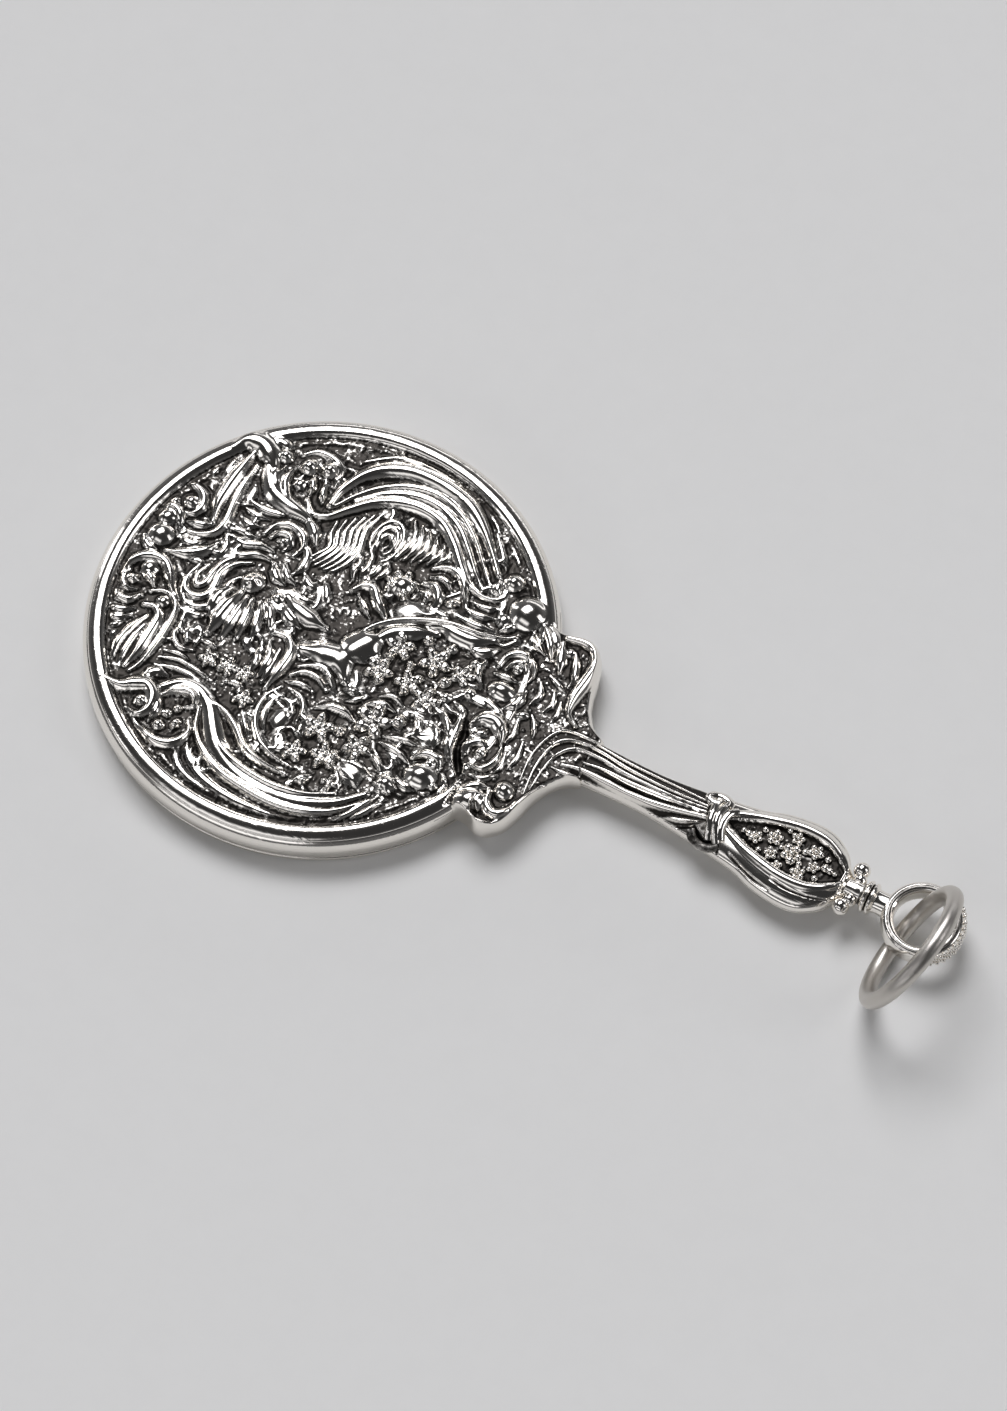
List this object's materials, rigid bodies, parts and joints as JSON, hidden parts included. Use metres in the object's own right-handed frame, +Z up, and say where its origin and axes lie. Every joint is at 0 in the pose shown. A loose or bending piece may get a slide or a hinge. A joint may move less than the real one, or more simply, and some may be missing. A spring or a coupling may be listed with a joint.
{
  "type": "hand mirror",
  "caption": "Miniature hand mirror pendant: round mirror in a relief-backed silver case, flared shoulder, almond-grip handle and an end loop with a swinging jump ring.",
  "frame": {"origin": "on the table under the middle of the bounding box, with the mirror lying on its face", "axes": "+X from the head along the handle to the end loop, +Y across the head, +Z up out of the ornamented back; the glass faces -Z"},
  "size_m": [0.0612, 0.0308, 0.0086],
  "materials": {
    "polished_silver": "polished silver, fine hairline wear",
    "oxidised_silver": "polished high spots, dark grey-brown oxidised recesses",
    "satin_silver": "satin drawn wire",
    "glass_pane": "clear, ground edge",
    "mirror_coating": "silvered",
    "card": "matt grey-brown card",
    "pitch": "dull black filling"
  },
  "bodies": {
    "mirror": {"front_bezel": "polished_silver", "mirror_glass": "glass_pane", "silvering": "mirror_coating", "backing_card": "card", "rim_band": "polished_silver", "back_shell": "oxidised_silver", "shoulder_cap": "oxidised_silver", "handle_back_half": "oxidised_silver", "handle_front_half": "polished_silver", "handle_core": "pitch", "ribbon_knot": "oxidised_silver", "grip_panel": "oxidised_silver", "grip_bead_1": "polished_silver", "grip_bead_2": "polished_silver", "grip_bead_3": "polished_silver", "grip_bead_4": "polished_silver", "neck_collar": "polished_silver", "end_loop": "polished_silver"},
    "ring": {"jump_ring": "satin_silver"}
  },
  "joints": [
    {"name": "ring_swing", "type": "hinge", "parent": "mirror", "child": "ring", "pos_m": [0.02727, -0.00218, 0.0021], "axis": [0.9045, -0.0569, -0.4226], "range_deg": [0, 150]}
  ]
}
